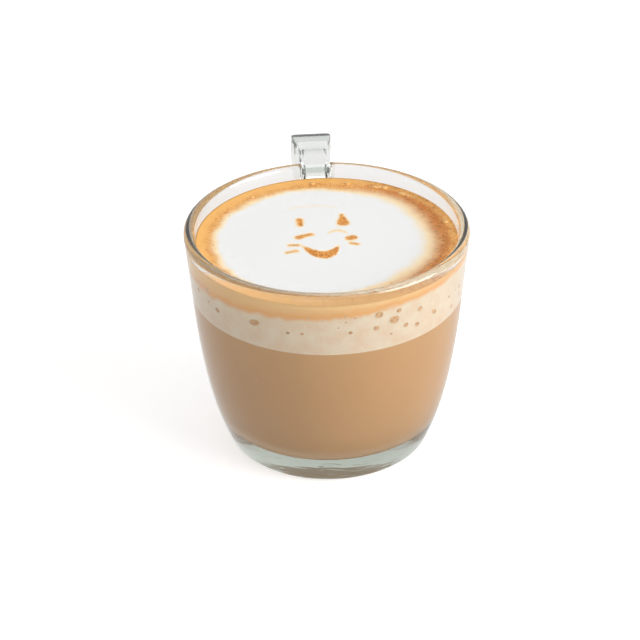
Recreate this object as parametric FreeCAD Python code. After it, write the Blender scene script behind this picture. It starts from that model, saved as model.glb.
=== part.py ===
# A glass coffee cup with a loop handle, filled with coffee under a thick layer of milk foam.
# Millimetres. +Z is up, the origin is the middle of the underside, and the handle lies along +Y.
import FreeCAD, Part
import math
import os
from FreeCAD import Vector

# bowl of the glass
rimDiameter = 82.0
cupHeight = 68.5
wallThickness = 3.1
floorThickness = 6.6      # solid glass under the coffee
innerCornerRadius = 13.0  # where the inside wall runs into the inside floor
footRounding = 1.8

# the outside of the wall, as its inset from the rim at five places
footInset = 11.2
heelInset = 8.2
heelHeight = 8.0
bellyInset = 4.5
bellyHeight = 24.0
shoulderInset = 2.0
shoulderDrop = 22.95      # below the middle of the lip
collarInset = 0.9
collarDrop = 8.95

# what is in the cup
foamDrop = 4.3            # from the rim down to the foam
foamDepth = 16.3

# loop handle, a flat strap that leaves the wall just under the rim
strapThickness = 4.4
strapEdgeRadius = 1.3
handleDrop = 0.2          # from the rim down to the top of the handle
handleReach = 24.3        # from the rim out to the back of the strap
bendRadius = 3.8          # middle line of the sharp upper bend
lowerRootHeight = 22.5    # where the strap comes back to the wall
lowerRootSlope = 18.0     # degrees by which it still falls as it meets the wall
neckGap = 5.5             # from the rim out to the narrowest place
rootWidth = 8.9
neckWidth = 6.8
bendWidth = 12.3
tailWidth = 7.6
flareEvenness = 0.75      # 1 is an even flare from the neck to the bend, less is a hollow one
tailRoundness = 1.15      # how far the strap bulges before it turns back to the wall
armSteps = 8
tailSteps = 10

levelTolerance = 0.001    # an edge this near to a height lies at it

rimRadius = rimDiameter / 2
lipRadius = wallThickness / 2
lipMiddle = cupHeight - lipRadius
foamLevel = cupHeight - foamDrop
coffeeLevel = foamLevel - foamDepth


def wallCurve(inset):
    """The wall's outline from its foot to the lip, moved inwards by the inset."""
    outline = [
        (footInset, 0.0),
        (heelInset, heelHeight),
        (bellyInset, bellyHeight),
        (shoulderInset, lipMiddle - shoulderDrop),
        (collarInset, lipMiddle - collarDrop),
        (0.0, lipMiddle),
    ]
    curve = Part.BSplineCurve()
    curve.interpolate([Vector(rimRadius - share - inset, 0, height) for share, height in outline])
    return curve


def innerCurve():
    """The inside of the wall, from the inside floor up to the lip."""
    curve = wallCurve(wallThickness)
    floor = Part.LineSegment(Vector(0, 0, floorThickness), Vector(rimRadius, 0, floorThickness))
    start = curve.parameter(curve.intersect(floor)[0].toShape().Point)
    curve.segment(start, curve.LastParameter)
    return curve


def line(start, end):
    return Part.LineSegment(start, end).toShape()


def revolve(edges):
    face = Part.Face(Part.Wire(edges))
    return face.revolve(Vector(0, 0, 0), Vector(0, 0, 1), 360)


def roundRing(solid, radius, height):
    """Round the level circular edge that lies at this height."""
    rings = [edge for edge in solid.Edges
             if abs(edge.BoundBox.ZMin - height) < levelTolerance
             and abs(edge.BoundBox.ZMax - height) < levelTolerance]
    return solid.makeFillet(radius, rings)


def makeCavity():
    """The inside of the bowl, up to the middle of the lip."""
    wall = innerCurve()
    corner = wall.value(wall.FirstParameter)
    lip = wall.value(wall.LastParameter)
    floor = Vector(0, 0, floorThickness)
    top = Vector(0, 0, lip.z)
    cavity = revolve([line(floor, corner), wall.toShape(), line(lip, top), line(top, floor)])
    return roundRing(cavity, innerCornerRadius, floorThickness)


def makeBowl():
    """The glass without its handle: a round-edged foot, a thick floor and a round lip."""
    outside = wallCurve(0.0)
    inside = innerCurve()
    foot = outside.value(outside.FirstParameter)
    corner = inside.value(inside.FirstParameter)
    innerLip = inside.value(inside.LastParameter)
    crest = Vector(rimRadius - lipRadius, 0, cupHeight)
    lip = Part.Arc(outside.value(outside.LastParameter), crest, innerLip).toShape()
    floor = Vector(0, 0, floorThickness)
    bowl = revolve([line(Vector(), foot), outside.toShape(), lip, inside.toShape(),
                    line(corner, floor), line(floor, Vector())])
    return roundRing(roundRing(bowl, footRounding, 0.0), innerCornerRadius, floorThickness)


def makeTail(bendEnd):
    """Middle line of the strap from the bend, down and back to the middle of the wall."""
    wall = wallCurve(lipRadius)
    level = Part.LineSegment(Vector(0, 0, lowerRootHeight), Vector(rimRadius, 0, lowerRootHeight))
    lowerRoot = Vector(0, wall.intersect(level)[0].X, lowerRootHeight)
    slope = math.radians(lowerRootSlope)
    pull = tailRoundness * bendEnd.sub(lowerRoot).Length
    curve = Part.BSplineCurve()
    curve.interpolate([bendEnd, lowerRoot], InitialTangent=Vector(0, 0, -pull),
                      FinalTangent=Vector(0, -pull * math.cos(slope), -pull * math.sin(slope)))
    return curve.toShape()


def strapSection(place, along, width):
    """A rounded rectangle across the strap, square to its middle line."""
    side = Vector(1, 0, 0)
    up = side.cross(along).normalize()
    half = width / 2 - strapEdgeRadius
    rise = strapThickness / 2 - strapEdgeRadius
    corners = [(half, rise, 0), (-half, rise, 90), (-half, -rise, 180), (half, -rise, 270)]
    arcs = []
    for across, high, turn in corners:
        arc = []
        for angle in (turn, turn + 45, turn + 90):
            outX = across + strapEdgeRadius * math.cos(math.radians(angle))
            outUp = high + strapEdgeRadius * math.sin(math.radians(angle))
            arc.append(place + side * outX + up * outUp)
        arcs.append(arc)
    edges = []
    for arc, before in zip(arcs, [arcs[-1]] + arcs):
        edges.append(line(before[-1], arc[0]))
        edges.append(Part.Arc(*arc).toShape())
    return Part.Wire(edges)


def armWidth(share, length):
    """Width along the arm: it narrows from the rim to the neck, then flares to the bend."""
    neckShare = (lipRadius + neckGap) / length
    if share < neckShare:
        return neckWidth + (rootWidth - neckWidth) * (1 - share / neckShare) ** 2
    flare = (share - neckShare) / (1 - neckShare)
    return neckWidth + (bendWidth - neckWidth) * flare * (flareEvenness + (1 - flareEvenness) * flare)


def tailWidthAt(share):
    return bendWidth + (tailWidth - bendWidth) * math.sin(share * math.pi / 2) ** 2


def skin(span, steps, widthAt):
    """One stretch of the strap, skinned through evenly spaced sections of its middle line."""
    sections = []
    for step in range(steps + 1):
        share = step / steps
        place = span.getParameterByLength(share * span.Length)
        sections.append(strapSection(span.valueAt(place), span.tangentAt(place), widthAt(share)))
    return Part.makeLoft(sections, True)


def makeHandle():
    """A level arm, a sharp bend, then a long curve back. Both ends lie inside the wall."""
    armHeight = cupHeight - handleDrop - strapThickness / 2
    back = rimRadius + handleReach - strapThickness / 2
    root = Vector(0, rimRadius - lipRadius, armHeight)
    bendStart = Vector(0, back - bendRadius, armHeight)
    bendEnd = Vector(0, back, armHeight - bendRadius)
    bendMiddle = Vector(0, bendStart.y, bendEnd.z)
    arm = line(root, bendStart)
    section = Part.Face(strapSection(bendStart, Vector(0, 1, 0), bendWidth))
    bend = section.revolve(bendMiddle, Vector(-1, 0, 0), 90)
    flare = skin(arm, armSteps, lambda share: armWidth(share, arm.Length))
    return flare.fuse([bend, skin(makeTail(bendEnd), tailSteps, tailWidthAt)])


def makeLayer(cavity, low, high):
    """What fills the inside of the bowl between two levels."""
    slab = Part.makeCylinder(rimDiameter, high - low, Vector(0, 0, low))
    return cavity.common(slab)


def write(name, shape):
    shape = shape.removeSplitter()
    solids = shape.Solids
    print(name, len(solids), "solid", round(shape.Volume), "mm3", "valid", shape.isValid())
    solids[0].exportStep("parts/" + name + ".step")


os.makedirs("parts", exist_ok=True)
cavity = makeCavity()
write("glass_cup", makeBowl().fuse(makeHandle().cut(cavity)))
write("coffee", makeLayer(cavity, 0.0, coffeeLevel))
write("milk_foam", makeLayer(cavity, coffeeLevel, foamLevel))
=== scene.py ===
import math
import random
import bmesh
import bpy
import numpy as np
from mathutils import Matrix, Vector, noise


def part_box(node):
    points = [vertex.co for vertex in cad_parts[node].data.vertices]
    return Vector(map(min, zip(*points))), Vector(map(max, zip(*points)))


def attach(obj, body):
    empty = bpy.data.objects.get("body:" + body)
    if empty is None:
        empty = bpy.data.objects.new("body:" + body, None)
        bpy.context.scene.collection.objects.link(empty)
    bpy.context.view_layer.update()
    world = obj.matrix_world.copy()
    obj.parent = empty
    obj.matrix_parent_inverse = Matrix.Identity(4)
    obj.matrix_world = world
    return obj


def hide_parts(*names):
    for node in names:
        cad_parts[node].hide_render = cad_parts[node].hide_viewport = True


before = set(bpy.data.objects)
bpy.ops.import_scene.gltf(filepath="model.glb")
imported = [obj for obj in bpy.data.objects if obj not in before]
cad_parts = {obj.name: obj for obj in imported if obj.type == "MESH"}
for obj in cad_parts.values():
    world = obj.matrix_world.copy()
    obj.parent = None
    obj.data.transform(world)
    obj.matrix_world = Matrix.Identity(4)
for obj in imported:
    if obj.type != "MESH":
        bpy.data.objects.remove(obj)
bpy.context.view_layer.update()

mm = 0.001
cupLow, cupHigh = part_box("glass_cup")
coffeeLow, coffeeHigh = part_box("coffee")
foamLow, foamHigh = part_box("milk_foam")
rimRadius = min(cupHigh.x, -cupLow.x, -cupLow.y)
rimHeight = cupHigh.z
floorHeight = coffeeLow.z
coffeeLevel = coffeeHigh.z
foamLevel = foamHigh.z


def newPiece(name, bm, material, node=None, levels=0):
    mesh = bpy.data.meshes.new(name)
    bm.to_mesh(mesh)
    bm.free()
    mesh.polygons.foreach_set("use_smooth", [True] * len(mesh.polygons))
    piece = bpy.data.objects.new(name, mesh)
    bpy.context.collection.objects.link(piece)
    mesh.materials.append(material)
    if levels:
        subdivision = piece.modifiers.new("Subdivision", "SUBSURF")
        subdivision.levels = levels
        subdivision.render_levels = levels
    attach(piece, "root")
    if node:
        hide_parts(node)
    return piece


def newMaterial(name, roughness):
    # the material, its node tree, its shader, and places on the object in mm
    material = bpy.data.materials.new(name)
    material.use_nodes = True
    tree = material.node_tree
    shader = tree.nodes["Principled BSDF"]
    shader.inputs["Roughness"].default_value = roughness
    inMetres = tree.nodes.new("ShaderNodeTexCoord").outputs["Object"]
    return material, tree, shader, vectorMath(tree, "SCALE", inMetres, scale=1 / mm)


def feed(tree, socket, value):
    # a socket takes a number, a colour or another node's output
    if isinstance(value, bpy.types.NodeSocket):
        tree.links.new(value, socket)
    else:
        socket.default_value = value


def calc(tree, operation, *values):
    node = tree.nodes.new("ShaderNodeMath")
    node.operation = operation
    for socket, value in zip(node.inputs, values):
        feed(tree, socket, value)
    return node.outputs[0]


def times(tree, first, second):
    return calc(tree, "MULTIPLY", first, second)


def plus(tree, first, second):
    return calc(tree, "ADD", first, second)


def minus(tree, first, second):
    return calc(tree, "SUBTRACT", first, second)


def vectorMath(tree, operation, *values, scale=None):
    node = tree.nodes.new("ShaderNodeVectorMath")
    node.operation = operation
    for socket, value in zip(node.inputs, values):
        feed(tree, socket, value)
    if scale is not None:
        feed(tree, node.inputs["Scale"], scale)
    return node.outputs["Value" if operation == "LENGTH" else "Vector"]


def fade(tree, value, start, end):
    # 0 at start, 1 at end, smooth between; it may run either way
    node = tree.nodes.new("ShaderNodeMapRange")
    node.interpolation_type = "SMOOTHSTEP"
    for socket, number in zip(node.inputs, (value, start, end)):
        feed(tree, socket, number)
    return node.outputs[0]


def mixColors(tree, share, first, second):
    node = tree.nodes.new("ShaderNodeMix")
    node.data_type = "RGBA"
    for socket, value in zip((node.inputs[0], node.inputs[6], node.inputs[7]), (share, first, second)):
        feed(tree, socket, value)
    return node.outputs[2]


def grain(tree, place, size, detail=2.0):
    # cloudy noise with features of this size in mm, 0 to 1 around a half
    node = tree.nodes.new("ShaderNodeTexNoise")
    feed(tree, node.inputs["Vector"], place)
    node.inputs["Scale"].default_value = 1 / size
    node.inputs["Detail"].default_value = detail
    return node.outputs["Fac"]


def axes(tree, place):
    node = tree.nodes.new("ShaderNodeSeparateXYZ")
    feed(tree, node.inputs[0], place)
    return tuple(node.outputs)


def addBump(tree, shader, height, distance, strength):
    node = tree.nodes.new("ShaderNodeBump")
    node.inputs["Strength"].default_value = strength
    node.inputs["Distance"].default_value = distance
    feed(tree, node.inputs["Height"], height)
    tree.links.new(node.outputs[0], shader.inputs["Normal"])


def srgb(red, green, blue):
    def linear(value):
        value /= 255
        return value / 12.92 if value <= 0.04045 else ((value + 0.055) / 1.055) ** 2.4
    return (linear(red), linear(green), linear(blue), 1)


wall = dict(
    thickness=3.1 * mm,
    # the outside: insets from the rim at heights, in mm
    insets=[(11.2, 0.0), (8.2, 8.0), (4.5, 24.0), (2.0, 44.0), (0.9, 58.0)],
    footRounding=1.8 * mm,
    footTangent=4 * mm,          # height at which the rounding of the foot takes the wall's slope
    footSteps=4,
    cornerRadius=13.0 * mm,      # inside, between wall and floor
    cornerTangent=16 * mm,
    cornerSteps=6,
    reach=0.12 * mm,             # how far the drink reaches into the wall
)
lipRadius = wall["thickness"] / 2
lipMiddle = rimHeight - lipRadius
crestRadius = rimRadius - lipRadius


def smoothCurve(points, count):
    # natural cubic through the points, by length along them
    points = np.array(points)
    steps = np.hypot(*np.diff(points, axis=0).T)
    knots = np.concatenate([[0], np.cumsum(steps)])
    size = len(points)
    matrix = np.eye(size)
    right = np.zeros((size, 2))
    for i in range(1, size - 1):
        matrix[i, i - 1:i + 2] = steps[i - 1], 2 * (steps[i - 1] + steps[i]), steps[i]
        slopeIn = (points[i] - points[i - 1]) / steps[i - 1]
        slopeOut = (points[i + 1] - points[i]) / steps[i]
        right[i] = 6 * (slopeOut - slopeIn)
    bend = np.linalg.solve(matrix, right)
    curve = []
    for t in np.linspace(0, knots[-1], count):
        i = min(np.searchsorted(knots, t, side="right") - 1, size - 2)
        h, a, b = steps[i], knots[i + 1] - t, t - knots[i]
        bent = (bend[i] * a ** 3 + bend[i + 1] * b ** 3) / (6 * h)
        before = (points[i] / h - bend[i] * h / 6) * a
        after = (points[i + 1] / h - bend[i + 1] * h / 6) * b
        curve.append(bent + before + after)
    return np.array(curve)


outlinePoints = [(rimRadius - inset * mm, height * mm) for inset, height in wall["insets"]]
wallOutline = smoothCurve(outlinePoints + [(rimRadius, lipMiddle)], 400)


def wallRadius(height, inset=0.0):
    return float(np.interp(height, wallOutline[:, 1], wallOutline[:, 0])) - inset


def roundCorner(before, corner, after, radius, count):
    # points on an arc of this radius that touches both sides of the corner
    before, corner, after = Vector(before), Vector(corner), Vector(after)
    toBefore = (before - corner).normalized()
    toAfter = (after - corner).normalized()
    half = toBefore.angle(toAfter) / 2
    middle = corner + (toBefore + toAfter).normalized() * radius / math.sin(half)
    first = corner + toBefore * radius / math.tan(half) - middle
    last = corner + toAfter * radius / math.tan(half) - middle
    start = math.atan2(first.y, first.x)
    turn = math.remainder(math.atan2(last.y, last.x) - start, 2 * math.pi)
    angles = [start + turn * i / count for i in range(count + 1)]
    return [middle + radius * Vector((math.cos(a), math.sin(a))) for a in angles]


def innerOutline(reach, top, spacing):
    # from the axis along the inside floor, round its corner and up the inside wall
    inset = wall["thickness"] - reach
    floor = floorHeight - reach
    corner = (wallRadius(floor, inset), floor)
    tangent = floor + wall["cornerTangent"]
    above = (wallRadius(tangent, inset), tangent)
    arc = roundCorner((0, floor), corner, above, wall["cornerRadius"] - reach, wall["cornerSteps"])
    points = [(arc[0].x * share, floor) for share in (0, 0.5)]
    points += [tuple(p) for p in arc]
    start = arc[-1].y
    count = max(1, round((top - start) / spacing))
    points += [(wallRadius(h, inset), h) for h in np.linspace(start, top, count + 1)[1:]]
    return points


def lathe(points, around):
    bm = bmesh.new()
    verts = [bm.verts.new((r, 0, z)) for r, z in points]
    edges = [bm.edges.new(pair) for pair in zip(verts, verts[1:])]
    bmesh.ops.spin(bm, geom=verts + edges, cent=(0, 0, 0), axis=(0, 0, 1), angle=2 * math.pi,
                   steps=around, use_merge=True)
    bmesh.ops.remove_doubles(bm, verts=bm.verts, dist=0.002 * mm)
    bmesh.ops.recalc_face_normals(bm, faces=bm.faces)
    return bm


cup = dict(
    around=112,            # columns round the bowl; four of them make the handle's root
    rootColumns=4,
    rootRows=5,
    rowsUnderRoot=4,       # rows of the outside: below the lower root, and between the roots
    rowsBetweenRoots=6,
    rowSpacing=6.0 * mm,   # inside
    innerLipGap=1.6 * mm,  # from the lip's last row down to the first row inside
    lipAngles=(2, 30, 60, 90, 120, 150, 178),     # degrees, from the outside over the crest
)

strap = dict(
    thickness=4.4 * mm,
    drop=0.2 * mm,         # from the rim down to the top of the arm
    bendRadius=3.8 * mm,
    neckGap=5.5 * mm,
    rootWidth=8.9 * mm,
    neckWidth=6.8 * mm,
    bendWidth=12.3 * mm,
    tailWidth=7.6 * mm,
    flareEvenness=0.75,    # 1 is an even flare from the neck to the bend, less is a hollow one
    lowerRoot=22.5 * mm,
    lowerRootHalf=2.64 * mm,          # half the height of the lower root on the wall
    lowerSlope=math.radians(18),
    bulge=20 * mm,                    # handle length of the long lower curve
    startGap=1.3 * mm,                # from the rim to the first section
    endGap=1.2 * mm,                  # from the last section to the wall
    armSteps=8,
    bendSteps=5,
    tailSteps=17,
    columns=(-1, -0.6, 0, 0.6, 1),
    rows=(1, 0.62, 0.2, -0.2, -0.62, -1),
    roundedRow=4,                     # from this row on the roundings below count
    rootDepth=(4.2 * mm, 11.0 * mm),  # the root's lower rows, below the middle of the lip
    rootRounding=4.5 * mm,            # under the root, in the looks only; it reaches into the finger gap
    bendRounding=1.6 * mm,            # inside the bend, in the looks only
    roundingLength=20.0 * mm,
)
armHeight = rimHeight - strap["drop"] - strap["thickness"] / 2     # of the arm's middle line
strapBack = cupHigh.y - strap["thickness"] / 2
bendStart = strapBack - strap["bendRadius"]                        # along Y, where the arm ends
bendLow = armHeight - strap["bendRadius"]                          # the height where the bend ends
lowerRootTop = strap["lowerRoot"] + strap["lowerRootHalf"]
lowerRootBottom = strap["lowerRoot"] - strap["lowerRootHalf"]
alongArm = 0.999        # only in the arm does the strap run along Y by more than this


def cupOutline():
    # outside, lip and inside from the middle of the underside to the middle of the inside floor
    tangent = wall["footTangent"]
    above = (wallRadius(tangent), tangent)
    arc = roundCorner((0, 0), tuple(wallOutline[0]), above, wall["footRounding"], wall["footSteps"])
    outside = [(arc[0].x * share, 0.0) for share in (0, 0.5, 0.93)] + [tuple(p) for p in arc]
    topRows = [lipMiddle - depth for depth in reversed(strap["rootDepth"])]
    heights = list(np.linspace(arc[-1].y, lowerRootBottom, cup["rowsUnderRoot"] + 1)[1:])
    heights += list(np.linspace(lowerRootBottom, lowerRootTop, cup["rootRows"] + 1)[1:])
    heights += list(np.linspace(lowerRootTop, topRows[0], cup["rowsBetweenRoots"] + 1)[1:]) + topRows[1:]
    outside += [(wallRadius(h), h) for h in heights]
    lip = [(crestRadius + lipRadius * math.cos(a), lipMiddle + lipRadius * math.sin(a))
           for a in np.radians(cup["lipAngles"])]
    inside = innerOutline(0.0, lipMiddle - cup["innerLipGap"], cup["rowSpacing"])
    return outside + lip + inside[::-1], lip


def strapPath():
    # places and directions along the middle line of the strap, in the plane of the handle
    bend = strap["bendRadius"]
    path = []
    for y in np.linspace(rimRadius + strap["startGap"], bendStart, strap["armSteps"])[:-1]:
        path.append((y, armHeight, 1, 0))
    for a in np.linspace(0, math.pi / 2, strap["bendSteps"]):
        path.append((bendStart + bend * math.sin(a), bendLow + bend * math.cos(a), math.cos(a), -math.sin(a)))
    start = Vector((strapBack, bendLow))
    root = Vector((wallRadius(strap["lowerRoot"], lipRadius), strap["lowerRoot"]))
    slope = strap["lowerSlope"]
    handle = root + strap["bulge"] * Vector((math.cos(slope), math.sin(slope)))
    pull = start - Vector((0, strap["bulge"]))
    for t in np.linspace(0, 1, strap["tailSteps"])[1:]:
        u = 1 - t
        place = start * u ** 3 + pull * 3 * t * u ** 2 + handle * 3 * t * t * u + root * t ** 3
        along = (pull - start) * u ** 2 + (handle - pull) * 2 * t * u + (root - handle) * t * t
        along.normalize()
        if place.x > wallRadius(place.y) + strap["endGap"]:
            path.append((place.x, place.y, along.x, along.y))
    return path


def strapWidth(y, z, along):
    neckWidth, bendWidth = strap["neckWidth"], strap["bendWidth"]
    neck = rimRadius + strap["neckGap"]
    if along > alongArm and y < neck:
        share = (neck - y) / strap["neckGap"]
        return neckWidth + (strap["rootWidth"] - neckWidth) * share ** 2
    if along > alongArm:
        share = (y - neck) / (bendStart - neck)
        even = strap["flareEvenness"]
        return neckWidth + (bendWidth - neckWidth) * share * (even + (1 - even) * share)
    share = min(1, max(0, (bendLow - z) / (bendLow - strap["lowerRoot"])))
    return bendWidth + (strap["tailWidth"] - bendWidth) * math.sin(share * math.pi / 2) ** 2


def strapRounding(y, z, along):
    # how much thicker the strap is on its inner side, under the root and inside the bend
    length = strap["roundingLength"]
    if along > alongArm:
        nearRoot = max(0, 1 - (y - rimRadius) / (length / 2)) ** 2
        nearBend = min(1, max(0, 1 - (bendStart - y) / length))
        return strap["rootRounding"] * nearRoot + strap["bendRounding"] * nearBend
    return strap["bendRounding"] * min(1, max(0, 1 - (bendLow - z) / length))


def openRoot(bm, high, low, isInside):
    # takes out the wall's faces behind a root and gives its edge loop, each point by column and row
    step = 2 * math.pi / cup["around"]
    half = cup["rootColumns"] / 2
    faces = []
    for face in bm.faces:
        middle = face.calc_center_median()
        turn = math.atan2(middle.x, middle.y)
        if abs(turn) < half * step and low < middle.z < high and isInside(middle):
            faces.append(face)
    border = [edge for edge in {e for f in faces for e in f.edges}
              if sum(f in faces for f in edge.link_faces) == 1]
    bmesh.ops.delete(bm, geom=faces, context="FACES")
    return [edge for edge in border if edge.is_valid]


def placeByColumn(vert):
    step = 2 * math.pi / cup["around"]
    return round(math.atan2(vert.co.x, vert.co.y) / step) + cup["rootColumns"] // 2


def makeCup():
    outline, lip = cupOutline()
    bm = lathe(outline, cup["around"])
    upperRows = lip[3::-1]
    upperRows += [(wallRadius(lipMiddle - depth), lipMiddle - depth) for depth in strap["rootDepth"]]
    upper = openRoot(bm, rimHeight + mm, upperRows[-1][1], lambda p: math.hypot(p.x, p.y) > crestRadius)
    lower = openRoot(bm, lowerRootTop, lowerRootBottom,
                     lambda p: math.hypot(p.x, p.y) > wallRadius(p.z, lipRadius))
    lowerRows = [(wallRadius(h), h) for h in np.linspace(lowerRootTop, lowerRootBottom, cup["rootRows"] + 1)]

    def rowOf(vert, rows):
        spot = Vector((math.hypot(vert.co.x, vert.co.y), vert.co.z))
        return min(range(len(rows)), key=lambda i: (Vector(rows[i]) - spot).length)

    ring = {}
    for vert in {v for e in upper for v in e.verts}:
        ring[vert] = (placeByColumn(vert), rowOf(vert, upperRows))
    lowerPlaces = {}          # the strap arrives upside down, so its rows are counted from below
    for vert in {v for e in lower for v in e.verts}:
        lowerPlaces[(placeByColumn(vert), cup["rootRows"] - rowOf(vert, lowerRows))] = vert

    edges = upper
    for y, z, alongY, alongZ in strapPath():
        grown = bmesh.ops.extrude_edge_only(bm, edges=edges)["geom"]
        edges = [g for g in grown if isinstance(g, bmesh.types.BMEdge)]
        fresh = [g for g in grown if isinstance(g, bmesh.types.BMVert)]
        width = strapWidth(y, z, alongY)
        nextRing = {}
        for vert in fresh:
            old = next(e.other_vert(vert) for e in vert.link_edges if e.other_vert(vert) in ring)
            column, row = ring[old]
            nextRing[vert] = (column, row)
            across = strap["columns"][column] * width / 2
            up = strap["rows"][row] * strap["thickness"] / 2
            if row >= strap["roundedRow"]:
                up -= strapRounding(y, z, alongY)
            vert.co = (across, y - alongZ * up, z + alongY * up)
        ring = nextRing
    grown = bmesh.ops.extrude_edge_only(bm, edges=edges)["geom"]
    targets = {}
    for vert in [g for g in grown if isinstance(g, bmesh.types.BMVert)]:
        old = next(e.other_vert(vert) for e in vert.link_edges if e.other_vert(vert) in ring)
        targets[vert] = lowerPlaces[ring[old]]
    bmesh.ops.weld_verts(bm, targetmap=targets)
    bmesh.ops.recalc_face_normals(bm, faces=bm.faces)
    return bm


glassLook = dict(
    ior=1.5,
    tint=(0.70, 0.74, 0.69, 1),   # a soft grey-green, which shows where the glass is thick
    density=40,
    waveSize=9.0,                 # mm, the faint unevenness of pressed glass
    waveHeight=0.003,             # mm
    stippleSize=3.0,              # mm, the stippled underside
    stippleHeight=0.06,           # mm
    stippleFade=(0.3, 0.05),      # mm above the underside, where it begins and where it is full
    smoothSize=5.0,               # mm, bare patches in the stipple
    smoothPatches=(0.66, 0.58),   # the noise where a patch is bare, and where it is stippled
    smoothUnderLip=(16, 24),      # mm below the middle of the lip, where the waves start and are full
)


def glassMaterial():
    material, tree, shader, place = newMaterial("pressedGlass", 0.0)
    shader.inputs["Base Color"].default_value = (1, 1, 1, 1)
    shader.inputs["IOR"].default_value = glassLook["ior"]
    shader.inputs["Transmission Weight"].default_value = 1.0
    absorption = tree.nodes.new("ShaderNodeVolumeAbsorption")
    absorption.inputs["Color"].default_value = glassLook["tint"]
    absorption.inputs["Density"].default_value = glassLook["density"]
    tree.links.new(absorption.outputs["Volume"], tree.nodes["Material Output"].inputs["Volume"])
    # the lip is smooth, the wall faintly wavy and the underside stippled
    z = axes(tree, place)[2]
    belowLip = fade(tree, z, *(lipMiddle / mm - depth for depth in glassLook["smoothUnderLip"]))
    waves = times(tree, grain(tree, place, glassLook["waveSize"], 1.0), glassLook["waveHeight"])
    underside = fade(tree, z, *glassLook["stippleFade"])
    stippled = fade(tree, grain(tree, place, glassLook["smoothSize"]), *glassLook["smoothPatches"])
    stipple = times(tree, grain(tree, place, glassLook["stippleSize"], 0.0), glassLook["stippleHeight"])
    stipple = times(tree, stipple, times(tree, underside, stippled))
    addBump(tree, shader, plus(tree, times(tree, waves, belowLip), stipple), mm, 1.0)
    return material


print("glass cup")
newPiece("glassCup", makeCup(), glassMaterial(), "glass_cup", levels=2)


coffeeLook = dict(
    deep=srgb(205, 156, 100),
    light=srgb(220, 172, 116),
    cloudSize=14.0,       # mm
    cloudiness=0.4,       # the rest is the slow change from the floor up
    edge=0.05 * mm,       # keeps the rim of the top crisp
    around=192,
    rowSpacing=2.0 * mm,
)


def coffeeMaterial():
    material, tree, shader, place = newMaterial("milkyCoffee", 0.35)
    clouds = grain(tree, place, coffeeLook["cloudSize"], 3.0)
    rise = fade(tree, axes(tree, place)[2], floorHeight / mm, coffeeLevel / mm)
    cloudiness = coffeeLook["cloudiness"]
    milk = plus(tree, times(tree, rise, 1 - cloudiness), times(tree, clouds, cloudiness))
    color = mixColors(tree, milk, coffeeLook["deep"], coffeeLook["light"])
    feed(tree, shader.inputs["Base Color"], color)
    return material


def makeCoffee():
    outline = innerOutline(wall["reach"], coffeeLevel, coffeeLook["rowSpacing"])
    outline.insert(-1, (outline[-1][0], coffeeLevel - coffeeLook["edge"]))
    outline += [(outline[-1][0] * share, coffeeLevel) for share in (0.998, 0.75, 0.5, 0.25, 0)]
    return lathe(outline, coffeeLook["around"])


print("coffee")
newPiece("coffee", makeCoffee(), coffeeMaterial(), "coffee")


crema = dict(
    whiteMiddle=(-2.7, -1.2),      # mm, the white foam inside the ring
    whiteHalf=(28.8, 31.6),
    edge=0.95,                     # where the ring starts, as a share of the white's half size
    edgeLead=0.02,
    softness=0.17,
    softnessRight=0.20,            # more of it on the right
    rightSide=(5.0, 25.0),         # mm along X
    frontRight=0.05,               # there the ring reaches further in, by this share
    frontRightX=(0.0, 15.0),
    frontRightY=(-8.0, -25.0),
    wander=(6.0, 1.4),             # mm, how long and how deep the waves of its edge are
    white=srgb(244, 244, 243),
    halo=srgb(253, 228, 184),
    light=srgb(241, 180, 98),
    dark=srgb(206, 124, 48),
    speck=srgb(160, 92, 26),
    haloRange=(0.0, 0.45),         # shares of the ring where white turns to halo, and halo to brown
    brownRange=(0.3, 0.95),
    darkRange=(0.95, 1.75),        # sums of these parts where light turns to dark
    cloudSize=3.0,
    cloudPart=0.9,
    grainSize=0.7,
    grainPart=1.6,
    rightPart=0.45,
    glassPart=0.5,                 # taken off again at the glass, where it is paler
    glassRadii=(33.8, 36.5),
    speckSize=1.2,
    speckRange=(0.56, 0.66),
    speckInner=(27.0, 30.0),       # mm from the middle, the band that has specks
    speckOuter=(35.5, 33.5),
    speckRight=(0.7, 1.0),
    speckStrength=0.85,
    roughness=0.55,
    bumpHeight=0.12 * mm,
    bump=0.6,
)
faceLook = dict(
    light=srgb(236, 164, 72),
    dark=srgb(190, 108, 18),
    darkRange=(0.42, 0.6),         # of the fine grain
    haloRange=(0.0, 0.4),          # shares of a stroke
    brownRange=(0.25, 0.9),
    wander=(1.3, 0.45),            # mm
    strokeEdge=(1.1, -0.8),        # mm from a stroke's outline, where it starts and where it is full
)

# the face in mm, each stroke: middle x, y, turn in degrees, half length, half thickness, bend, taper,
# strength
strokes = [
    (-7.0, 10.4, 90, 1.7, 0.75, 0.0, 0.0, 1.0),      # left ear
    (5.5, 11.9, 90, 2.4, 0.85, 0.0, 0.8, 1.0),       # right ear
    (-6.2, 2.0, 22, 2.0, 0.8, 0.0, 0.1, 0.85),       # eyes
    (3.5, 4.4, -4, 2.1, 0.5, -0.2, 0.0, 0.45),
    (-9.6, -3.2, -4, 1.1, 0.6, 0.0, 0.0, 0.75),      # whiskers
    (-10.4, -7.0, 14, 1.3, 0.6, 0.0, 0.0, 0.7),
    (7.0, -0.4, 16, 0.5, 1.1, 0.0, 0.0, 0.95),
    (7.6, -3.9, -24, 0.9, 0.6, 0.0, 0.0, 0.75),
    (-1.0, -9.6, 7, 2.9, 1.9, 0.18, 0.15, 1.0),      # mouth
    (-2.7, 20.4, 0, 6.5, 0.7, -0.03, 0.0, 0.16),     # faint lines in the white
    (2.0, -31.5, 3, 11.0, 0.5, 0.012, 0.0, 0.3),
]


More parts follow.
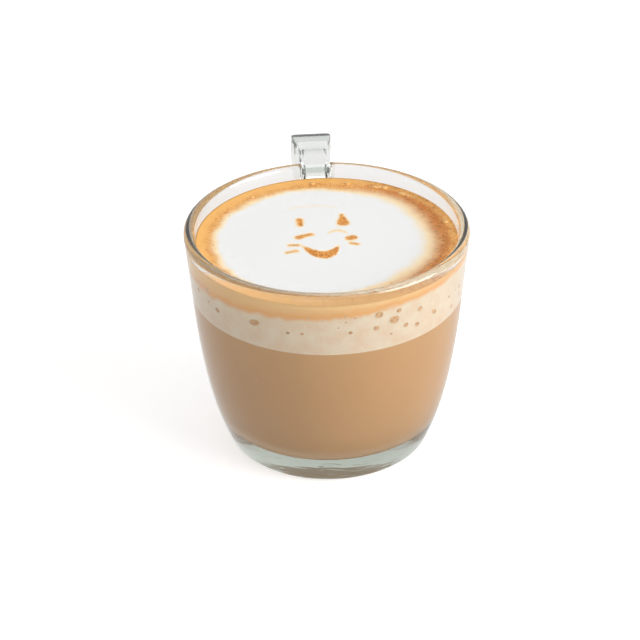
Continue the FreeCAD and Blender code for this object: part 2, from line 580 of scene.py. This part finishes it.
strokeSizes = ("Half Length", "Half Thickness", "Bend", "Taper", "Strength")


def strokeGroup():
    # a soft brush stroke on the level plane: 1 in its middle, 0 outside
    group = bpy.data.node_groups.new("cremaStroke", "ShaderNodeTree")
    for name in ("Place", "Middle"):
        group.interface.new_socket(name, in_out="INPUT", socket_type="NodeSocketVector")
    for name in ("Turn",) + strokeSizes:
        group.interface.new_socket(name, in_out="INPUT", socket_type="NodeSocketFloat")
    group.interface.new_socket("Mask", in_out="OUTPUT", socket_type="NodeSocketFloat")
    given = group.nodes.new("NodeGroupInput").outputs
    turned = group.nodes.new("ShaderNodeVectorRotate")
    turned.rotation_type = "Z_AXIS"
    feed(group, turned.inputs["Vector"], vectorMath(group, "SUBTRACT", given["Place"], given["Middle"]))
    feed(group, turned.inputs["Angle"], times(group, given["Turn"], -1.0))
    along, across = axes(group, turned.outputs[0])[:2]
    across = minus(group, across, times(group, given["Bend"], calc(group, "POWER", along, 2.0)))
    past = calc(group, "MAXIMUM", minus(group, calc(group, "ABSOLUTE", along), given["Half Length"]), 0.0)
    away = calc(group, "SQRT", plus(group, times(group, past, past), times(group, across, across)))
    share = calc(group, "DIVIDE", along, given["Half Length"])
    narrowing = minus(group, 1.0, times(group, given["Taper"], share))
    thickness = times(group, given["Half Thickness"], narrowing)
    mask = fade(group, minus(group, away, thickness), *faceLook["strokeEdge"])
    result = group.nodes.new("NodeGroupOutput")
    feed(group, result.inputs["Mask"], times(group, mask, given["Strength"]))
    return group


def faceMask(tree, place):
    group = strokeGroup()
    face = 0.0
    for x, y, turn, *sizes in strokes:
        node = tree.nodes.new("ShaderNodeGroup")
        node.node_tree = group
        feed(tree, node.inputs["Place"], place)
        node.inputs["Middle"].default_value = (x, y, 0)
        node.inputs["Turn"].default_value = math.radians(turn)
        for name, size in zip(strokeSizes, sizes):
            node.inputs[name].default_value = size
        face = calc(tree, "MAXIMUM", face, node.outputs["Mask"])
    return face


def wobble(tree, place, size, distance):
    # places pushed about by soft noise of this size, so that edges wander by up to this distance, mm
    node = tree.nodes.new("ShaderNodeTexNoise")
    feed(tree, node.inputs["Vector"], place)
    node.inputs["Scale"].default_value = 1 / size
    push = vectorMath(tree, "SUBTRACT", node.outputs["Color"], (0.5, 0.5, 0.5))
    return vectorMath(tree, "ADD", place, vectorMath(tree, "SCALE", push, scale=2 * distance))


def ringMask(tree, place):
    # 0 in the white, 1 in the full ring, and where the right side is
    x, y = axes(tree, wobble(tree, place, *crema["wander"]))[:2]
    squares = []
    for value, middle, half in zip((x, y), crema["whiteMiddle"], crema["whiteHalf"]):
        share = calc(tree, "DIVIDE", minus(tree, value, middle), half)
        squares.append(calc(tree, "POWER", calc(tree, "ABSOLUTE", share), 2.0))
    away = calc(tree, "SQRT", plus(tree, *squares))
    frontRight = times(tree, fade(tree, x, *crema["frontRightX"]), fade(tree, y, *crema["frontRightY"]))
    away = plus(tree, away, times(tree, frontRight, crema["frontRight"]))
    onRight = fade(tree, x, *crema["rightSide"])
    end = plus(tree, crema["edge"] + crema["softness"], times(tree, onRight, crema["softnessRight"]))
    return fade(tree, away, crema["edge"] - crema["edgeLead"], end), onRight


def foamTopMaterial():
    material, tree, shader, place = newMaterial("cremaTop", crema["roughness"])
    ring, onRight = ringMask(tree, place)
    radius = vectorMath(tree, "LENGTH", vectorMath(tree, "MULTIPLY", place, (1, 1, 0)))
    clouds = grain(tree, place, crema["cloudSize"], 4.0)
    fine = grain(tree, place, crema["grainSize"], 4.0)

    brown = plus(tree, times(tree, clouds, crema["cloudPart"]), times(tree, onRight, crema["rightPart"]))
    brown = plus(tree, brown, times(tree, fine, crema["grainPart"]))
    atGlass = fade(tree, radius, *crema["glassRadii"])
    brown = minus(tree, brown, times(tree, atGlass, crema["glassPart"]))
    ringColor = mixColors(tree, fade(tree, brown, *crema["darkRange"]), crema["light"], crema["dark"])

    band = times(tree, fade(tree, radius, *crema["speckInner"]), fade(tree, radius, *crema["speckOuter"]))
    band = times(tree, band, fade(tree, onRight, *crema["speckRight"]))
    specks = fade(tree, grain(tree, place, crema["speckSize"]), *crema["speckRange"])
    specks = times(tree, times(tree, specks, band), crema["speckStrength"])
    ringColor = mixColors(tree, specks, ringColor, crema["speck"])

    soft = mixColors(tree, fade(tree, ring, *crema["haloRange"]), crema["white"], crema["halo"])
    color = mixColors(tree, fade(tree, ring, *crema["brownRange"]), soft, ringColor)
    face = faceMask(tree, wobble(tree, place, *faceLook["wander"]))
    faceColor = mixColors(tree, fade(tree, fine, *faceLook["darkRange"]), faceLook["light"], faceLook["dark"])
    color = mixColors(tree, fade(tree, face, *faceLook["haloRange"]), color, crema["halo"])
    color = mixColors(tree, fade(tree, face, *faceLook["brownRange"]), color, faceColor)
    feed(tree, shader.inputs["Base Color"], color)
    addBump(tree, shader, times(tree, fine, ring), crema["bumpHeight"], crema["bump"])
    return material


foamSide = dict(
    cremaDepth=4.1,                # mm below the top of the foam, in the middle
    cremaTilt=0.06,                # deeper to the left by this much per mm
    wander=(4.5, 1.5),             # mm, how long and how deep the waves of its lower edge are
    bandRange=(-3.2, 0.0),         # mm past that edge, where the band gets its edge colour
    milkRange=(1.2, -0.9),         # and where it comes out of the milk
    pale=srgb(250, 234, 210),
    beige=srgb(246, 220, 190),
    beigeRange=(0.45, 0.95),       # of clouds and grain
    band=srgb(255, 206, 140),
    bandEdge=srgb(250, 184, 110),
    cloudSize=4.0,
    grainSize=0.5,
    grainPart=0.4,
    bumpHeight=0.1 * mm,
    bump=0.3,
)


def foamSideMaterial():
    material, tree, shader, place = newMaterial("foamSide", 0.5)
    x, _, z = axes(tree, wobble(tree, place, *foamSide["wander"]))
    below = minus(tree, foamLevel / mm, z)
    depth = minus(tree, foamSide["cremaDepth"], times(tree, x, foamSide["cremaTilt"]))
    past = minus(tree, below, depth)          # 0 at the lower edge of the crema
    clouds = grain(tree, place, foamSide["cloudSize"], 4.0)
    fine = grain(tree, place, foamSide["grainSize"])
    mottled = plus(tree, clouds, times(tree, fine, foamSide["grainPart"]))
    milk = mixColors(tree, fade(tree, mottled, *foamSide["beigeRange"]), foamSide["pale"], foamSide["beige"])
    toEdge = fade(tree, past, *foamSide["bandRange"])
    browned = mixColors(tree, toEdge, foamSide["band"], foamSide["bandEdge"])
    color = mixColors(tree, fade(tree, past, *foamSide["milkRange"]), milk, browned)
    feed(tree, shader.inputs["Base Color"], color)
    addBump(tree, shader, fine, foamSide["bumpHeight"], foamSide["bump"])
    return material


foamShape = dict(
    around=256,
    sideRows=12,
    topRows=60,
    edge=0.05 * mm,                # keeps the lower rim crisp
    cling=0.35 * mm,               # how high the foam climbs at the glass
    clingReach=1.0 * mm,
    lumpSize=2.2 * mm,
    lumpHeight=0.05,               # mm, in the white
    ringLumps=0.12,                # mm more in the ring
    ringStart=26,                  # mm from the middle
    ringFade=6,
)


def makeFoam():
    inset = wall["thickness"] - wall["reach"]
    heights = [coffeeLevel, coffeeLevel + foamShape["edge"]]
    heights += list(np.linspace(coffeeLevel, foamLevel, foamShape["sideRows"])[1:])
    side = [(wallRadius(h, inset), h) for h in heights]
    bottom = [(side[0][0] * share, coffeeLevel) for share in (0, 0.33, 0.66, 0.998)]
    edge = side[-1][0]
    top = []
    for share in np.linspace(1, 0, foamShape["topRows"])[1:]:
        climb = foamShape["cling"] * math.exp(-(1 - share) * edge / foamShape["clingReach"])
        top.append((edge * share, foamLevel - foamShape["cling"] + climb))
    bm = lathe(bottom + side + top, foamShape["around"])
    for face in bm.faces:
        face.material_index = 0 if face.normal.z > 0.6 else 1      # the top, and the side
    for vert in bm.verts:
        away = math.hypot(vert.co.x, vert.co.y)
        if vert.co.z > foamLevel - mm and away < edge - mm:
            inRing = min(1, max(0, (away / mm - foamShape["ringStart"]) / foamShape["ringFade"]))
            lumpy = foamShape["lumpHeight"] + foamShape["ringLumps"] * inRing
            vert.co.z += lumpy * mm * noise.noise(vert.co / foamShape["lumpSize"])
    return bm


print("milk foam")
foam = newPiece("milkFoam", makeFoam(), foamTopMaterial(), "milk_foam")
foam.data.materials.append(foamSideMaterial())

# bubbles against the glass: degrees round from the front, mm above the coffee's top, radius, flatness,
# tilt; the last two are down in the coffee
glassBubbles = [
    (-57, 6.5, 0.95, 0.9, 0), (-36, 7.9, 1.75, 0.65, -25), (-21, 6.7, 0.5, 1, 0), (-15, 6.9, 0.5, 1, 0),
    (5, 7.1, 0.65, 0.9, 0), (3, 12.7, 0.28, 1, 0), (7, 11.9, 0.34, 1, 0), (3, 10.7, 0.26, 1, 0),
    (0, 9.0, 0.26, 1, 0), (-12, 12.3, 0.26, 1, 0), (-6, 11.4, 0.22, 1, 0), (17, 11.9, 1.25, 1, 0),
    (24, 9.1, 1.5, 1, 0), (16, 7.5, 0.9, 0.85, 20), (30, 5.9, 0.8, 1, 0), (36, 4.7, 0.8, 0.9, 30),
    (23, 4.4, 0.4, 1, 0), (26, 11.7, 0.8, 1, 0), (37, 9.6, 0.85, 1, 0), (46, 6.1, 1.2, 0.6, 50),
    (57, 7.3, 0.6, 0.8, 30), (69, 4.1, 0.9, 0.4, 60), (-68, -20.4, 0.35, 1, 0), (-38, -12.1, 0.35, 1, 0),
]
bubbleLook = dict(
    paleRing=1.22,          # of the bubble's radius
    thickness=(0.1, 0.06),  # half of it in mm, of the bubble and of its pale ring
    roundFrom=0.7 * mm,     # from this radius on it gets a finer mesh
    scattered=70,           # small ones all round
    seed=5,
)


def addBubble(bm, angle, height, radius, flatness, tilt, index):
    # a flat lens that lies on the foam's side, facing outwards
    away = wallRadius(height, wall["thickness"] - wall["reach"])
    thickness = bubbleLook["thickness"][index] * mm
    turn = (Matrix.Rotation(math.radians(angle), 4, "Z") @ Matrix.Translation((0, -away, height))
            @ Matrix.Rotation(math.radians(tilt), 4, "Y")
            @ Matrix.Diagonal((radius, thickness, radius * flatness, 1)))
    fineness = 3 if radius > bubbleLook["roundFrom"] else 2
    made = bmesh.ops.create_icosphere(bm, subdivisions=fineness, radius=1, matrix=turn)
    for face in {f for v in made["verts"] for f in v.link_faces}:
        face.material_index = index


def makeGlassBubbles():
    bm = bmesh.new()
    draw = random.Random(bubbleLook["seed"])
    bubbles = list(glassBubbles)
    for _ in range(bubbleLook["scattered"]):
        bubbles.append((draw.uniform(60, 300), draw.uniform(2, 12), draw.uniform(0.2, 0.9) ** 2 + 0.2,
                        draw.uniform(0.8, 1), draw.uniform(0, 90)))
    for angle, height, radius, flatness, tilt in bubbles:
        for index, grow in ((1, bubbleLook["paleRing"]), (0, 1)):
            addBubble(bm, angle, coffeeLevel + height * mm, radius * grow * mm, flatness, tilt, index)
    return bm


def bubbleMaterial(name, low, high, roughness=0.3):
    material, tree, shader, place = newMaterial(name, roughness)
    mottled = fade(tree, grain(tree, place, 0.7), 0.35, 0.65)
    feed(tree, shader.inputs["Base Color"], mixColors(tree, mottled, low, high))
    return material


print("bubbles at the glass")
windowMaterial = bubbleMaterial("bubbleWindow", srgb(206, 154, 104), srgb(234, 188, 138))
bubbles = newPiece("foamBubbles", makeGlassBubbles(), windowMaterial)
bubbles.data.materials.append(bubbleMaterial("bubbleEdge", srgb(246, 230, 206), srgb(238, 216, 186)))

# shiny bubbles on the crema in mm: x, y, radius, length as a share of the width, turn in degrees
topBubbles = [
    (17.6, 30.4, 0.8, 2.2, -12), (19.8, 29.8, 0.9, 1.2, 0), (24.6, 25.2, 0.9, 1.5, -30),
    (26.0, 24.2, 0.7, 1.0, 0), (35.0, 6.6, 1.0, 1.1, 60), (9.0, 33.6, 0.7, 1.1, 0),
    (-1.5, 34.6, 0.6, 1.3, 10), (-20.0, 27.5, 0.5, 1.0, 40),
]
topBubbleLook = dict(
    count=150,                # with tiny ones strewn over the ring
    seed=11,
    angles=(20, 65),          # degrees from +X, the middle and the spread of the tiny ones
    away=(31.5, 36.2),        # mm from the cup's middle
    radii=(0.12, 0.34),       # mm
    height=0.55,              # of the radius
    depth=0.33 * mm,          # of their middles, below the foam's highest edge
    roundFrom=0.4,            # mm, from this radius on it gets a finer mesh
)


def makeTopBubbles():
    bm = bmesh.new()
    draw = random.Random(topBubbleLook["seed"])
    bubbles = list(topBubbles)
    while len(bubbles) < topBubbleLook["count"]:
        angle = math.radians(draw.gauss(*topBubbleLook["angles"]))
        away = draw.uniform(*topBubbleLook["away"])
        radius = draw.uniform(*topBubbleLook["radii"])
        bubbles.append((away * math.cos(angle), away * math.sin(angle), radius, 1, 0))
    for x, y, radius, length, turn in bubbles:
        size = (radius * length * mm, radius * mm, radius * topBubbleLook["height"] * mm, 1)
        place = (Matrix.Translation((x * mm, y * mm, foamLevel - topBubbleLook["depth"]))
                 @ Matrix.Rotation(math.radians(turn), 4, "Z") @ Matrix.Diagonal(size))
        fineness = 3 if radius > topBubbleLook["roundFrom"] else 1
        bmesh.ops.create_icosphere(bm, subdivisions=fineness, radius=1, matrix=place)
    return bm


print("bubbles on the crema")
shinyMaterial = bubbleMaterial("cremaBubble", srgb(232, 168, 88), srgb(246, 196, 120), 0.08)
newPiece("cremaBubbles", makeTopBubbles(), shinyMaterial)


floorLook = dict(
    half=3,                         # metres
    drop=0.2 * mm,                  # below the cup
    color=(0.6, 0.6, 0.6, 1),       # what it throws back on the cup
    shownLight=0.66,                # what the eye sees of it besides the light that falls on it
    throughGlass=0.93,              # the same in and through the glass
)


def shownShare(tree):
    # 1 where the eye, a reflection or the glass shows this surface, 0 where it only gives light
    rays = tree.nodes.new("ShaderNodeLightPath").outputs
    shown = calc(tree, "MAXIMUM", rays["Is Camera Ray"], rays["Is Glossy Ray"])
    return calc(tree, "MAXIMUM", shown, rays["Is Transmission Ray"])


def studio():
    bm = bmesh.new()
    bmesh.ops.create_grid(bm, x_segments=1, y_segments=1, size=floorLook["half"])
    bmesh.ops.translate(bm, verts=bm.verts, vec=(0, 0, -floorLook["drop"]))
    mesh = bpy.data.meshes.new("floor")
    bm.to_mesh(mesh)
    bm.free()
    floor = bpy.data.objects.new("floor", mesh)
    bpy.context.collection.objects.link(floor)
    material, tree, shader, _ = newMaterial("paleFloor", 1.0)
    shader.inputs["Specular IOR Level"].default_value = 0.0
    rays = tree.nodes.new("ShaderNodeLightPath").outputs
    inGlass = calc(tree, "MAXIMUM", rays["Is Glossy Ray"], rays["Is Transmission Ray"])
    direct = times(tree, rays["Is Camera Ray"], floorLook["shownLight"])
    shown = calc(tree, "MAXIMUM", times(tree, inGlass, floorLook["throughGlass"]), direct)
    feed(tree, shader.inputs["Base Color"], mixColors(tree, inGlass, floorLook["color"], (0, 0, 0, 1)))
    feed(tree, shader.inputs["Emission Color"], (1, 1, 1, 1))
    feed(tree, shader.inputs["Emission Strength"], shown)
    mesh.materials.append(material)


lamps = [
    # name, place, size, watts
    ("keyRight", (1.1, -0.6, 0.5), 1.2, 25),
    ("topSoft", (-0.1, 0.3, 1.5), 1.8, 6.5),
]
worldLight = 0.35      # what the world gives as light; the eye sees 1


def light():
    world = bpy.data.worlds.new("studioWorld")
    bpy.context.scene.world = world
    world.use_nodes = True
    tree = world.node_tree
    shown = shownShare(tree)
    strength = plus(tree, worldLight, times(tree, shown, 1 - worldLight))
    feed(tree, tree.nodes["Background"].inputs["Color"], (1, 1, 1, 1))
    feed(tree, tree.nodes["Background"].inputs["Strength"], strength)
    for name, place, size, watts in lamps:
        lamp = bpy.data.lights.new(name, "AREA")
        lamp.shape = "DISK"
        lamp.size = size
        lamp.energy = watts
        lampObject = bpy.data.objects.new(name, lamp)
        bpy.context.collection.objects.link(lampObject)
        lampObject.location = place
        towardsCup = Vector((0, 0, rimHeight / 2)) - Vector(place)
        lampObject.rotation_euler = towardsCup.to_track_quat("-Z", "Y").to_euler()


camera = dict(
    distance=0.575,
    elevation=31.11,     # of the camera's place, degrees
    azimuth=-4.4,        # the handle stands a little to the left of straight behind
    pitch=30.91,
    yaw=-0.26,
    roll=-0.74,
    lens=109.9,
)


def setCamera():
    pitch, yaw, roll = (math.radians(camera[key]) for key in ("pitch", "yaw", "roll"))
    elevation = math.radians(camera["elevation"])
    forward = Vector((math.sin(yaw) * math.cos(pitch), math.cos(yaw) * math.cos(pitch), -math.sin(pitch)))
    right = Vector((math.cos(yaw), -math.sin(yaw), 0))
    up = right.cross(forward)
    right, up = right * math.cos(roll) + up * math.sin(roll), up * math.cos(roll) - right * math.sin(roll)
    place = Vector((0, -math.cos(elevation), math.sin(elevation))) * camera["distance"]
    place.z += rimHeight / 2
    axes = Matrix((right, up, -forward)).transposed().to_4x4()
    turn = Matrix.Rotation(math.radians(camera["azimuth"]), 4, "Z")
    data = bpy.data.cameras.new("camera")
    data.lens = camera["lens"]
    data.sensor_width = 36
    cameraObject = bpy.data.objects.new("camera", data)
    cameraObject.matrix_world = turn @ Matrix.Translation(place) @ axes
    bpy.context.collection.objects.link(cameraObject)
    bpy.context.scene.camera = cameraObject


print("studio")
studio()
light()
setCamera()
bpy.context.scene.view_settings.view_transform = "Standard"
